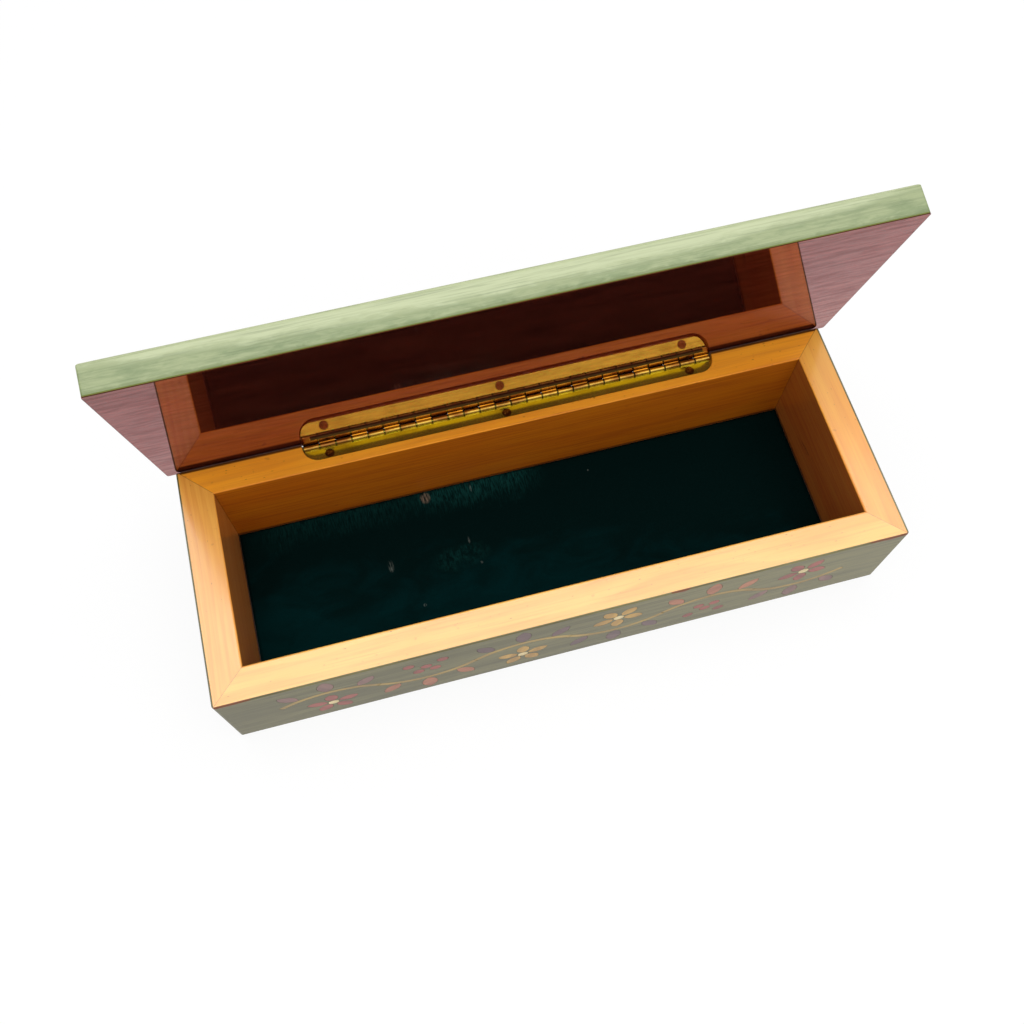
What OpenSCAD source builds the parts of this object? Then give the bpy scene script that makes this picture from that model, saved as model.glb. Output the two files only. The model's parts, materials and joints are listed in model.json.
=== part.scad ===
// Long marquetry box with a hinged slab lid.
// X runs along the length, Y from front to back, Z up.
// The origin is the centre of the box's underside. The lid is drawn standing open.

/* [Box] */
// Length of the box over its veneer
box_len = 260; // [200:1:360]
// Depth of the box over its veneer, front to back
box_depth = 94; // [80:1:160]
// Height of the box to its rim
box_h = 43.5; // [38:0.5:80]
// Thickness of the solid walls without their veneer
wall_t = 12; // [11:0.5:16]
// Thickness of the dyed veneer on the box
veneer_t = 0.6; // [0.5:0.1:1]
// Radius of the veneered upright corners
corner_r = 1.2; // [0.4:0.1:1.6]
// Radius of the eased top edges of the veneer
arris_r = 0.5; // [0.2:0.05:0.5]
// Radius of the eased inner edge of the rim
rim_r = 0.45; // [0.2:0.05:0.8]

/* [Bottom] */
// Thickness of the bottom panel
bottom_t = 2; // [1.5:0.1:4]
// How far the bottom panel is let into the walls
rabbet_w = 6; // [3:0.5:8]
// Gap around the bottom panel in its rabbet
bottom_clear = 0.1; // [0.05:0.05:0.5]
// Thickness of the card under the velvet
card_t = 0.4; // [0.3:0.1:1.5]
// Thickness of the velvet
velvet_t = 1; // [0.6:0.1:2]
// Gap between the lining and the walls
lining_clear = 0.3; // [0.2:0.05:1]

/* [Lid] */
// Overhang of the lid past each end of the box
lid_side_over = 3.8; // [0:0.1:8]
// Overhang of the lid past the front of the box
lid_front_over = 4.9; // [0:0.1:8]
// How far the lid's back edge stays inside the box's back face
lid_back_inset = 0.4; // [0.3:0.1:1]
// Thickness of the lid
lid_t = 11.15; // [10.5:0.05:18]
// Radius of the lid's upright corners
lid_corner_r = 0.8; // [0.4:0.1:3.8]
// Radius of the lid's top edges
lid_edge_r = 1.75; // [1:0.05:1.9]
// Width of the edging around the lid
edging_w = 4; // [3.9:0.1:7]
// Thickness of the veneer under the lid
under_t = 0.7; // [0.5:0.1:1.2]
// Thickness of the veneer on top of the lid
top_t = 0.6; // [0.5:0.1:1.2]
// Gap between the closed lid and the rim
seat_gap = 0.13; // [0.1:0.01:0.2]
// Angle at which the lid stands open
lid_open = 77.5; // [0:0.5:92.5]

/* [Hinge] */
// Number of knuckles
knuckle_count = 26; // [10:2:28]
// Distance from one knuckle to the next
knuckle_pitch = 6.35; // [5:0.05:6.8]
// Gap between two knuckles
knuckle_gap = 0.3; // [0.1:0.05:0.4]
// Distance of the hinge's middle from the box's middle
hinge_x = 1; // [-4:0.5:4]
// Diameter of the knuckles
barrel_d = 2.2; // [2:0.1:2.4]
// Gap between a knuckle and the other leaf
barrel_gap = 0.15; // [0.1:0.05:0.2]
// Diameter of the hinge pin
pin_d = 1; // [0.8:0.1:1.2]
// Gap between the pin and its bore, on the diameter
pin_clear = 0.12; // [0.08:0.02:0.2]
// Thickness of the leaves
leaf_t = 0.8; // [0.7:0.05:0.9]
// Width of a leaf from the pin's axis to its free edge
leaf_w = 5.6; // [5.5:0.1:6.4]
// Radius of the leaves' free corners
leaf_corner_r = 4.5; // [2:0.1:4.8]
// Distance of the pin's axis from the box's back face
axis_in = 1.9; // [1.8:0.05:2]
// Depth of the pin's axis below the rim
axis_down = 1.97; // [1.9:0.01:2.1]
// Width of the mortise, from the back face
mortise_w = 8.8; // [8.6:0.1:10]
// Radius of the mortise's front corners
mortise_corner_r = 6.5; // [2:0.1:8]
// Gap between the hinge's ends and the mortise
mortise_clear = 0.4; // [0.2:0.1:1]

/* [Screws] */
// Diameter of a countersunk screw head
screw_head_d = 3.6; // [3.2:0.1:3.6]
// Diameter of the screw shank
screw_d = 2; // [1.6:0.1:2.2]
// Length of a screw
screw_len = 9; // [7:0.5:9.5]
// Distance between the screws
screw_pitch = 73; // [40:1:74]
// How far the middle screw is left of the middle
screw_mid = 2.6; // [0:0.1:6]
// Distance of the screws from the pin's axis
screw_in = 3.55; // [3.5:0.05:3.7]
// Gap around a screw in its hole, on the diameter
screw_clear = 0.1; // [0.05:0.05:0.2]
// Width of the slots of the cross recess
cross_w = 0.5; // [0.3:0.05:0.6]
// Depth of the cross recess
cross_deep = 0.55; // [0.3:0.05:0.6]

/* [Marquetry] */
// Saw kerf around each inlay
kerf = 0.12; // [0.08:0.02:0.2]
// Number of arcs in the vine on the front
front_arcs = 6; // [6:2:8]
// Number of arcs in the vine on the lid
top_arcs = 6; // [6:2:8]
// Angle by which each half arc of the front's vine bends
front_bend_angle = 38; // [36:1:40]
// Angle by which each half arc of the lid's vine bends
top_bend_angle = 42; // [30:1:44]
// Width of the front's vine
front_stem_w = 2.2; // [1:0.1:2.5]
// Width of the lid's vine
top_stem_w = 2.2; // [1.5:0.1:3]
// Bare ground between the vine's ends and the panel's ends
vine_end = 20; // [18:1:30]
// Bare ground between the tips of the leaves and the edge of the front
front_margin = 2.6; // [2.4:0.2:5]
// Bare ground between the tips of the leaves and the edge of the lid's panel
top_margin = 8; // [6:0.5:12]
// Width of a leaf as a share of its length
leaf_ratio = 0.5; // [0.3:0.02:0.54]
// Length of the front's petals
front_petal = 7.8; // [4:0.1:8]
// Length of the lid's petals
top_petal = 9.5; // [7:0.5:10]
// Width of a petal as a share of its length
petal_ratio = 0.62; // [0.4:0.02:0.66]
// Diameter of the front's flower centres
front_eye_d = 4; // [3:0.1:4.2]
// Diameter of the lid's flower centres
top_eye_d = 6; // [5:0.1:7]
// Diameter of the front's berries
front_berry_d = 4.2; // [2:0.1:4.4]
// Diameter of the lid's berries
top_berry_d = 5; // [3:0.1:6]

/* [Hidden] */

$fn = 48;
// Overshoot of the cutting shapes
over = 1;
petals = 5;
// How far a knuckle's root reaches behind the pin's axis, as a share of its diameter
root_ratio = 0.35;

// Walls, without their veneer
core_len = box_len - 2 * veneer_t;
core_depth = box_depth - 2 * veneer_t;
cavity_len = core_len - 2 * wall_t;
cavity_depth = core_depth - 2 * wall_t;

// Pin's axis, and the outer faces of the two leaves above and below it
axis_y = box_depth / 2 - axis_in;
axis_z = box_h - axis_down;
under_z = box_h + seat_gap;
lid_leaf_off = under_z - axis_z;
box_leaf_off = barrel_d / 2;
mortise_z = axis_z - box_leaf_off;
screws_x = [-screw_pitch, -screw_mid, screw_pitch];
hinge_len = knuckle_count * knuckle_pitch;

// Back edge of the rim is rounded about a centre on which the lid swings clear of it
back_r = axis_in;

// Lid, as it lies closed
lid_len = box_len + 2 * lid_side_over;
lid_y0 = -box_depth / 2 - lid_front_over;
lid_y1 = box_depth / 2 - lid_back_inset;
lid_depth = lid_y1 - lid_y0;
lid_mid_y = (lid_y0 + lid_y1) / 2;
edging_h = lid_t - under_t;
panel_len = lid_len - 2 * edging_w;
panel_depth = lid_depth - 2 * edging_w;

// Vines: length of one arc, its radius and the height of its crest
front_chord = (box_len - 2 * vine_end) / front_arcs;
top_chord = (panel_len - 2 * vine_end) / top_arcs;
front_crest = crest(front_chord, front_bend_angle);
top_crest = crest(top_chord, top_bend_angle);
front_leaf = box_h / 2 - front_crest - front_stem_w / 2 - front_margin;
top_leaf = panel_depth / 2 - top_crest - top_stem_w / 2 - top_margin;
// Length of a leaning leaf as a share of the middle one's
front_side_ratio = 0.85;
top_side_ratio = 0.6;
leaf_lean_angle = 18;
leaf_spread_ratio = 0.55;

function arc_r(chord, bend) = chord / 2 / sin(bend);
function crest(chord, bend) = arc_r(chord, bend) * (1 - cos(bend));

// ---- shapes used by several pieces

module rounded_rect(l, w, r) {
    square([l - 2 * r, w], center = true);
    square([l, w - 2 * r], center = true);
    for (x = [-1, 1], y = [-1, 1])
        translate([x * (l / 2 - r), y * (w / 2 - r)])
            circle(r);
}

// A strip from y = -w to y = 0 with rounded corners on its lower side
module half_rounded(l, w, r) {
    intersection() {
        rounded_rect(l, 2 * w, r);
        translate([-l / 2, -w]) square([l, w]);
    }
}

// What a round-over of radius r takes off a corner at the origin, below and left of it
module corner_cut(r) {
    difference() {
        translate([-r, -r]) square(r + over);
        translate([-r, -r]) circle(r);
    }
}

// Carries the children from the closed lid to the open one
module swung() {
    translate([0, axis_y, axis_z])
        rotate([-lid_open, 0, 0])
            translate([0, -axis_y, -axis_z])
                children();
}

// ---- walls

// Section of a wall, outer face at the left
module wall_section() {
    difference() {
        square([wall_t, box_h]);
        translate([wall_t, box_h]) corner_cut(rim_r);
        translate([wall_t - rabbet_w, -over]) square([rabbet_w + over, bottom_t + over]);
    }
}

// A board of the given length with its outer face on y = 0 and its ends mitred
module mitred_wall(l) {
    intersection() {
        translate([-l / 2, 0, 0])
            rotate([90, 0, 90])
                linear_extrude(l) wall_section();
        linear_extrude(box_h)
            polygon([
                [-l / 2, 0],
                [l / 2, 0],
                [l / 2 - wall_t, wall_t],
                [-l / 2 + wall_t, wall_t]
            ]);
    }
}

// The long round-over on the back edge of the rim
module back_edge_cut() {
    translate([-box_len / 2 - over, box_depth / 2, box_h])
        rotate([90, 0, 90])
            linear_extrude(box_len + 2 * over) corner_cut(back_r);
}

module mortise() {
    translate([hinge_x, box_depth / 2, mortise_z])
        linear_extrude(box_h - mortise_z + over) {
            half_rounded(hinge_len + 2 * mortise_clear, mortise_w, mortise_corner_r);
            translate([-hinge_len / 2 - mortise_clear, -over])
                square([hinge_len + 2 * mortise_clear, 2 * over]);
        }
}

module front_wall() {
    color("#e8b765")
        translate([0, -core_depth / 2, 0])
            mitred_wall(core_len);
}

module back_wall() {
    color("#dca552")
        difference() {
            translate([0, core_depth / 2, 0])
                rotate([0, 0, 180])
                    mitred_wall(core_len);
            back_edge_cut();
            mortise();
            at_screws() screw_hole(mortise_z + leaf_t);
        }
}

module end_wall(s) {
    difference() {
        translate([s * core_len / 2, 0, 0])
            rotate([0, 0, s * 90])
                mitred_wall(core_depth);
        back_edge_cut();
    }
}

module left_wall() {
    color("#e3ae5c") end_wall(-1);
}

module right_wall() {
    color("#e3ae5c") end_wall(1);
}

// ---- bottom and lining

module bottom_panel() {
    l = cavity_len + 2 * (rabbet_w - bottom_clear);
    w = cavity_depth + 2 * (rabbet_w - bottom_clear);
    color("#c9a36a")
        translate([-l / 2, -w / 2, 0])
            cube([l, w, bottom_t]);
}

module lining(z, t) {
    l = cavity_len - 2 * lining_clear;
    w = cavity_depth - 2 * lining_clear;
    translate([-l / 2, -w / 2, z])
        cube([l, w, t]);
}

module lining_card() {
    color("#8b8575") lining(bottom_t, card_t);
}

module velvet_lining() {
    color("#07302c") lining(bottom_t + card_t, velvet_t);
}

// ---- veneer on the box

// The box's outline in plan
module outline() {
    linear_extrude(box_h) rounded_rect(box_len, box_depth, corner_r);
}

module front_veneer() {
    color("#8b9c79")
        difference() {
            intersection() {
                outline();
                translate([-box_len / 2, -box_depth / 2, 0])
                    cube([box_len, veneer_t, box_h]);
            }
            translate([-box_len / 2 - over, -box_depth / 2, box_h])
                mirror([0, 1, 0])
                    rotate([90, 0, 90])
                        linear_extrude(box_len + 2 * over) corner_cut(arris_r);
            on_front(over) front_motifs(kerf);
        }
}

module back_veneer() {
    color("#8b9c79")
        difference() {
            intersection() {
                outline();
                translate([-box_len / 2, box_depth / 2 - veneer_t, 0])
                    cube([box_len, veneer_t, box_h]);
            }
            back_edge_cut();
            mortise();
        }
}

module end_veneer(s) {
    difference() {
        intersection() {
            outline();
            translate([s * (box_len - veneer_t) / 2, 0, box_h / 2])
                cube([veneer_t, core_depth, box_h], center = true);
        }
        translate([s * box_len / 2, s * (-box_depth / 2 - over), box_h])
            rotate([90, 0, s > 0 ? 180 : 0])
                mirror([0, 0, 1])
                    linear_extrude(box_depth + 2 * over) mirror([1, 0]) corner_cut(arris_r);
        back_edge_cut();
    }
}

module left_veneer() {
    color("#8b9c79") end_veneer(-1);
}

module right_veneer() {
    color("#8b9c79") end_veneer(1);
}

// ---- inlay shapes, each grown by g all round

// A pointed leaf from the origin up along y
module leaf(l, slim, g) {
    s = l * slim / 2;
    r = (l * l / 4 + s * s) / (2 * s);
    intersection() {
        translate([r - s, l / 2]) circle(r + g);
        translate([s - r, l / 2]) circle(r + g);
    }
}

// One arc of the vine, its crest upwards
module stem(chord, bend, w, g) {
    r = arc_r(chord, bend);
    far = 3 * r;
    a = bend - asin((kerf - g) / r);
    translate([0, crest(chord, bend) - r])
        intersection() {
            difference() {
                circle(r + w / 2 + g);
                circle(r - w / 2 - g);
            }
            polygon([[0, 0], [far * sin(a), far * cos(a)], [-far * sin(a), far * cos(a)]]);
        }
}

// The middle leaf and two leaning ones on the outside of an arc
module leaf_fan(chord, bend, w, l, side, g) {
    r = arc_r(chord, bend);
    translate([0, crest(chord, bend) - r])
        for (k = [-1, 0, 1])
            rotate(-k * bend * leaf_spread_ratio)
                translate([0, r + w / 2 + 2 * kerf])
                    rotate(-k * leaf_lean_angle)
                        leaf(l * (k == 0 ? 1 : side), leaf_ratio, g);
}

// A flower's middle lies as far inside the arc as its petals need
module at_flower(chord, bend, petal, eye_d) {
    translate([0, crest(chord, bend) - petal - eye_d - petal / 3])
        children();
}

module petal_ring(petal, eye_d, g) {
    for (k = [0:petals - 1])
        rotate(k * 360 / petals)
            translate([0, eye_d / 2 + 2 * kerf])
                leaf(petal, petal_ratio, g);
}

module berry_cluster(d, g) {
    for (k = [-1, 0, 1])
        translate([k * 1.5 * d, -abs(k) * d])
            circle(d / 2 + g);
    for (k = [-1, 1])
        translate([k * 0.75 * d, d])
            circle(d / 2 + g);
}

// Places the children on each of the listed arcs, turned over on every second one
module on_arcs(list, arcs, chord) {
    for (i = list)
        translate([(i - (arcs - 1) / 2) * chord, 0])
            if (i % 2 == 0) children();
            else mirror([0, 1]) children();
}

// Arcs counted from both ends that hold the same motif
function pair(k, arcs) = [for (i = [0:arcs - 1]) if (min(i, arcs - 1 - i) % 3 == k) i];

// ---- front inlays

module on_front(extra) {
    translate([0, -box_depth / 2 + veneer_t + extra, box_h / 2])
        rotate([90, 0, 0])
            linear_extrude(veneer_t + 2 * extra) children();
}

module front_arc_stems(g) {
    on_arcs([0:front_arcs - 1], front_arcs, front_chord)
        stem(front_chord, front_bend_angle, front_stem_w, g);
}

module front_fans(k, g) {
    on_arcs(pair(k, front_arcs), front_arcs, front_chord)
        leaf_fan(front_chord, front_bend_angle, front_stem_w, front_leaf, front_side_ratio, g);
}

module front_flowers(k, g) {
    on_arcs(pair(k, front_arcs), front_arcs, front_chord)
        at_flower(front_chord, front_bend_angle, front_petal, front_eye_d)
            petal_ring(front_petal, front_eye_d, g);
}

module front_eye_discs(g) {
    for (k = [0, 2])
        on_arcs(pair(k, front_arcs), front_arcs, front_chord)
            at_flower(front_chord, front_bend_angle, front_petal, front_eye_d)
                circle(front_eye_d / 2 + g);
}

module front_berry_discs(g) {
    on_arcs(pair(1, front_arcs), front_arcs, front_chord)
        at_flower(front_chord, front_bend_angle, front_petal, front_eye_d)
            berry_cluster(front_berry_d, g);
}

module front_motifs(g) {
    front_arc_stems(g);
    for (k = [0:2]) front_fans(k, g);
    for (k = [0, 2]) front_flowers(k, g);
    front_eye_discs(g);
    front_berry_discs(g);
}

module front_stems() {
    color("#b79a4e") on_front(0) front_arc_stems(0);
}

module front_leaves_mauve() {
    color("#77564f") on_front(0) front_fans(0, 0);
}

module front_leaves_rust() {
    color("#a8603a") on_front(0) front_fans(1, 0);
}

module front_leaves_plum() {
    color("#5c3b4c") on_front(0) front_fans(2, 0);
}

module front_petals_red() {
    color("#8f3d2c") on_front(0) front_flowers(0, 0);
}

module front_petals_gold() {
    color("#c39b3f") on_front(0) front_flowers(2, 0);
}

module front_eyes() {
    color("#e2cf9f") on_front(0) front_eye_discs(0);
}

module front_berries() {
    color("#8f3d2c") on_front(0) front_berry_discs(0);
}

// ---- lid, drawn closed and swung open by its nodes

// Section across the lid, on y = 0, with its top corners rounded
module rounded_section(w) {
    r = lid_edge_r;
    translate([-w / 2, 0]) square([w, edging_h - r]);
    translate([-w / 2 + r, 0]) square([w - 2 * r, edging_h]);
    for (s = [-1, 1])
        translate([s * (w / 2 - r), edging_h - r])
            circle(r);
}

// Outside of the edging, from z = 0 up
module lid_block() {
    intersection() {
        linear_extrude(edging_h) rounded_rect(lid_len, lid_depth, lid_corner_r);
        rotate([90, 0, 90])
            linear_extrude(lid_len + 2 * over, center = true) rounded_section(lid_depth);
        rotate([90, 0, 0])
            linear_extrude(lid_depth + 2 * over, center = true) rounded_section(lid_len);
    }
}

// One side of the mitred edging: across = half the lid's size along the side
module edging(across, out, a) {
    swung()
        translate([0, lid_mid_y, under_z + under_t])
            intersection() {
                lid_block();
                rotate([0, 0, a])
                    linear_extrude(edging_h + over)
                        polygon([
                            [-across - over, -out - over],
                            [across + over, -out - over],
                            [across - edging_w, -out + edging_w],
                            [-across + edging_w, -out + edging_w]
                        ]);
            }
}

module lid_front_edging() {
    color("#a5b78e") edging(lid_len / 2, lid_depth / 2, 0);
}

module lid_back_edging() {
    color("#a5b78e") edging(lid_len / 2, lid_depth / 2, 180);
}

module lid_left_edging() {
    color("#a5b78e") edging(lid_depth / 2, lid_len / 2, -90);
}

module lid_right_edging() {
    color("#a5b78e") edging(lid_depth / 2, lid_len / 2, 90);
}

module lid_core() {
    color("#c9a36a")
        swung()
            difference() {
                translate([-panel_len / 2, lid_mid_y - panel_depth / 2, under_z + under_t])
                    cube([panel_len, panel_depth, edging_h - top_t]);
                lid_screw_holes();
            }
}

module lid_underside_veneer() {
    color("#4a1c14")
        swung()
            difference() {
                translate([0, lid_mid_y, under_z])
                    linear_extrude(under_t)
                        rounded_rect(lid_len, lid_depth, lid_corner_r);
                lid_screw_holes();
            }
}

module on_top(extra) {
    swung()
        translate([0, lid_mid_y, under_z + lid_t - top_t - extra])
            linear_extrude(top_t + 2 * extra) children();
}

module top_arc_stems(g) {
    on_arcs([0:top_arcs - 1], top_arcs, top_chord)
        stem(top_chord, top_bend_angle, top_stem_w, g);
}

module top_fans(ks, g) {
    for (k = ks)
        on_arcs(pair(k, top_arcs), top_arcs, top_chord)
            leaf_fan(top_chord, top_bend_angle, top_stem_w, top_leaf, top_side_ratio, g);
}

module top_flowers(k, g) {
    on_arcs(pair(k, top_arcs), top_arcs, top_chord)
        at_flower(top_chord, top_bend_angle, top_petal, top_eye_d)
            petal_ring(top_petal, top_eye_d, g);
}

module top_eye_discs(g) {
    for (k = [0, 2])
        on_arcs(pair(k, top_arcs), top_arcs, top_chord)
            at_flower(top_chord, top_bend_angle, top_petal, top_eye_d)
                circle(top_eye_d / 2 + g);
}

module top_berry_discs(g) {
    on_arcs(pair(1, top_arcs), top_arcs, top_chord)
        at_flower(top_chord, top_bend_angle, top_petal, top_eye_d)
            berry_cluster(top_berry_d, g);
}

module lid_top_veneer() {
    color("#93a680")
        difference() {
            on_top(0) square([panel_len, panel_depth], center = true);
            on_top(over) {
                top_arc_stems(kerf);
                top_fans([0:2], kerf);
                for (k = [0, 2]) top_flowers(k, kerf);
                top_eye_discs(kerf);
                top_berry_discs(kerf);
            }
        }
}

module top_stems() {
    color("#b79a4e") on_top(0) top_arc_stems(0);
}

module top_leaves_mauve() {
    color("#77564f") on_top(0) top_fans([0, 2], 0);
}

module top_leaves_rust() {
    color("#a8603a") on_top(0) top_fans([1], 0);
}

module top_petals_gold() {
    color("#c39b3f") on_top(0) top_flowers(0, 0);
}

module top_petals_red() {
    color("#8f3d2c") on_top(0) top_flowers(2, 0);
}

module top_eyes() {
    color("#e2cf9f") on_top(0) top_eye_discs(0);
}

module top_berries() {
    color("#8f3d2c") on_top(0) top_berry_discs(0);
}

// ---- hinge, drawn about the pin's axis with the leaf below it

// Places the children on the pin's axis at the hinge's middle
module at_axis() {
    translate([hinge_x, axis_y, axis_z]) children();
}

function knuckle_mid(i) = (i - (knuckle_count - 1) / 2) * knuckle_pitch;

module knuckle(i, d, l) {
    translate([knuckle_mid(i), 0, 0])
        rotate([0, 90, 0])
            cylinder(h = l, d = d, center = true);
}

// Leaf whose outer face lies off below the axis; first is the number of its first knuckle
module hinge_leaf(first, off) {
    own = [first:2:knuckle_count - 1];
    others = [1 - first:2:knuckle_count - 1];
    l = knuckle_pitch - knuckle_gap;
    root = root_ratio * barrel_d;
    difference() {
        union() {
            translate([0, 0, -off])
                linear_extrude(leaf_t)
                    half_rounded(hinge_len, leaf_w, leaf_corner_r);
            for (i = own) {
                knuckle(i, barrel_d, l);
                // where the leaf turns up behind the pin
                translate([knuckle_mid(i) - l / 2, -root / 4, -off])
                    cube([l, 1.25 * root, off]);
            }
        }
        // room for the other leaf's knuckles
        for (i = others)
            knuckle(i, barrel_d + 2 * barrel_gap, knuckle_pitch + knuckle_gap);
        rotate([0, 90, 0])
            cylinder(h = hinge_len + over, d = pin_d + pin_clear, center = true);
        translate([0, -screw_in, -off + leaf_t])
            for (x = screws_x)
                translate([x, 0, 0])
                    screw_shape(screw_clear);
    }
}

// A countersunk screw with its head's face on z = 0 and its point down, grown by g on the diameter
module screw_shape(g) {
    cone = (screw_head_d - screw_d) / 2;
    translate([0, 0, -cone])
        cylinder(h = cone, d1 = screw_d + g, d2 = screw_head_d + g);
    translate([0, 0, -screw_len + screw_d])
        cylinder(h = screw_len - screw_d, d = screw_d + g);
    translate([0, 0, -screw_len])
        cylinder(h = screw_d, d1 = g, d2 = screw_d + g);
    if (g > 0)
        cylinder(h = over, d = screw_head_d + g);
}

module screw() {
    difference() {
        screw_shape(0);
        for (a = [0, 90])
            rotate([0, 0, a + 25])
                translate([0, 0, -cross_deep / 2 + over / 2])
                    cube([screw_head_d * 0.55, cross_w, cross_deep + over], center = true);
    }
}

module screw_hole(z) {
    translate([0, 0, z])
        screw_shape(screw_clear);
}

// Plan positions of the screws
module at_screws() {
    for (x = screws_x)
        translate([hinge_x + x, axis_y - screw_in, 0])
            children();
}

// Holes in the closed lid, for screws that point up
module lid_screw_holes() {
    at_screws()
        translate([0, 0, under_z - leaf_t])
            mirror([0, 0, 1])
                screw_shape(screw_clear);
}

module hinge_box_leaf() {
    color("#c79a3c") at_axis() hinge_leaf(0, box_leaf_off);
}

module hinge_lid_leaf() {
    color("#d4ab50")
        swung()
            at_axis()
                mirror([0, 0, 1])
                    hinge_leaf(1, lid_leaf_off);
}

module hinge_pin() {
    color("#b98c34")
        at_axis()
            rotate([0, 90, 0])
                cylinder(h = hinge_len, d = pin_d, center = true);
}

module box_leaf_screws() {
    color("#a87c33")
        at_screws()
            translate([0, 0, mortise_z + leaf_t])
                screw();
}

module lid_leaf_screws() {
    color("#a87c33")
        swung()
            at_screws()
                translate([0, 0, under_z - leaf_t])
                    mirror([0, 0, 1])
                        screw();
}

front_wall();
back_wall();
left_wall();
right_wall();
bottom_panel();
lining_card();
velvet_lining();
front_veneer();
back_veneer();
left_veneer();
right_veneer();
front_stems();
front_leaves_mauve();
front_leaves_rust();
front_leaves_plum();
front_petals_red();
front_petals_gold();
front_eyes();
front_berries();
lid_core();
lid_front_edging();
lid_back_edging();
lid_left_edging();
lid_right_edging();
lid_underside_veneer();
lid_top_veneer();
top_stems();
top_leaves_mauve();
top_leaves_rust();
top_petals_gold();
top_petals_red();
top_eyes();
top_berries();
hinge_box_leaf();
hinge_lid_leaf();
hinge_pin();
box_leaf_screws();
lid_leaf_screws();
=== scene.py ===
import bpy
import bmesh
import json
import math
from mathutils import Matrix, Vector, noise


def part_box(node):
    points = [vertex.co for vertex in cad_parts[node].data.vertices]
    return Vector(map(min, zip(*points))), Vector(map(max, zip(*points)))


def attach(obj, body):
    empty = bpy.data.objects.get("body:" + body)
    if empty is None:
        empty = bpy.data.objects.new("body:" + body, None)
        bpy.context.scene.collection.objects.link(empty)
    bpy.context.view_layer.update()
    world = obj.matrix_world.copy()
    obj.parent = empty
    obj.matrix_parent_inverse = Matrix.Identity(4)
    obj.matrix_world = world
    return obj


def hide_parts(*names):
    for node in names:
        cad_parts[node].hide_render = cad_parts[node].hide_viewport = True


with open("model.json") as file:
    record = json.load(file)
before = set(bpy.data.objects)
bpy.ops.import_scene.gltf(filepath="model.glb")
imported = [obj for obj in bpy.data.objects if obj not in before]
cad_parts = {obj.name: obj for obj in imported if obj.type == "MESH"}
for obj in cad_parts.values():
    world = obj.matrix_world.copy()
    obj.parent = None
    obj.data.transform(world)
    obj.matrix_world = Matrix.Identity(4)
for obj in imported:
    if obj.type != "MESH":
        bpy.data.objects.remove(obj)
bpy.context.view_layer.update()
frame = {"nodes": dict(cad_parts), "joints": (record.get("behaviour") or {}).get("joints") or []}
nodes = frame["nodes"]
scene = bpy.context.scene
mm = 0.001


def rgb(r, g, b):
    # 0-255 screen values to the linear colour that Blender mixes in
    def line(c):
        c = c / 255
        return c / 12.92 if c <= 0.04045 else ((c + 0.055) / 1.055) ** 2.4
    return (line(r), line(g), line(b), 1.0)


def boxOf(name):
    # lowest and highest corner of a CAD node, in mm
    return [Vector(corner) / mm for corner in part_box(name)]


# places taken from the frame, in mm
rimTop = boxOf("front_wall")[1].z
wellHalf = (boxOf("right_wall")[0].x, boxOf("back_wall")[0].y)           # to the inner faces of the walls
outerHalf = (boxOf("right_veneer")[1].x, -boxOf("front_veneer")[0].y)    # to the outside of the veneer
liningTop = boxOf("velvet_lining")[1].z
lidHinge = frame["joints"][0]
hingeSpot = Vector(lidHinge["pos_m"]) / mm
lidOpen = -math.radians(lidHinge["range_deg"][0])       # the lid stands open at rest
lidOut = (0, -math.cos(lidOpen), math.sin(lidOpen))     # from the hinge to the lid's free edge
lidUp = (0, math.sin(lidOpen), math.cos(lidOpen))       # from the lid's underside to its top
lidHalf = boxOf("lid_underside_veneer")[1].x
lidEdge = max(v.co.dot(Vector(lidOut)) for v in nodes["lid_underside_veneer"].data.vertices) / mm
lidReach = lidEdge - hingeSpot.dot(Vector(lidOut))      # from the pin's axis to the free edge


class Sock:
    # an output of a node; sums on it add Math nodes

    def __init__(self, look, out):
        self.look = look
        self.out = out

    def math(self, operation, *args):
        return self.look.add("ShaderNodeMath", {"operation": operation}, dict(enumerate(args)))

    def __add__(self, other):
        return self.math("ADD", self, other)

    def __radd__(self, other):
        return self.math("ADD", other, self)

    def __sub__(self, other):
        return self.math("SUBTRACT", self, other)

    def __rsub__(self, other):
        return self.math("SUBTRACT", other, self)

    def __mul__(self, other):
        return self.math("MULTIPLY", self, other)

    def __rmul__(self, other):
        return self.math("MULTIPLY", other, self)

    def __truediv__(self, other):
        return self.math("DIVIDE", self, other)

    def __rtruediv__(self, other):
        return self.math("DIVIDE", other, self)

    def __pow__(self, other):
        return self.math("POWER", self, other)

    def __gt__(self, other):
        return self.math("GREATER_THAN", self, other)

    def __lt__(self, other):
        return self.math("LESS_THAN", self, other)

    def __abs__(self):
        return self.math("ABSOLUTE", self)

    def fract(self):
        return self.math("FRACT", self)

    def least(self, other):
        return self.math("MINIMUM", self, other)

    def step(self, low, high):
        # 0 below low, 1 above high, smooth between
        return self.look.add("ShaderNodeMapRange", {"interpolation_type": "SMOOTHSTEP"},
                             {"Value": self, "From Min": low, "From Max": high})


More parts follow.
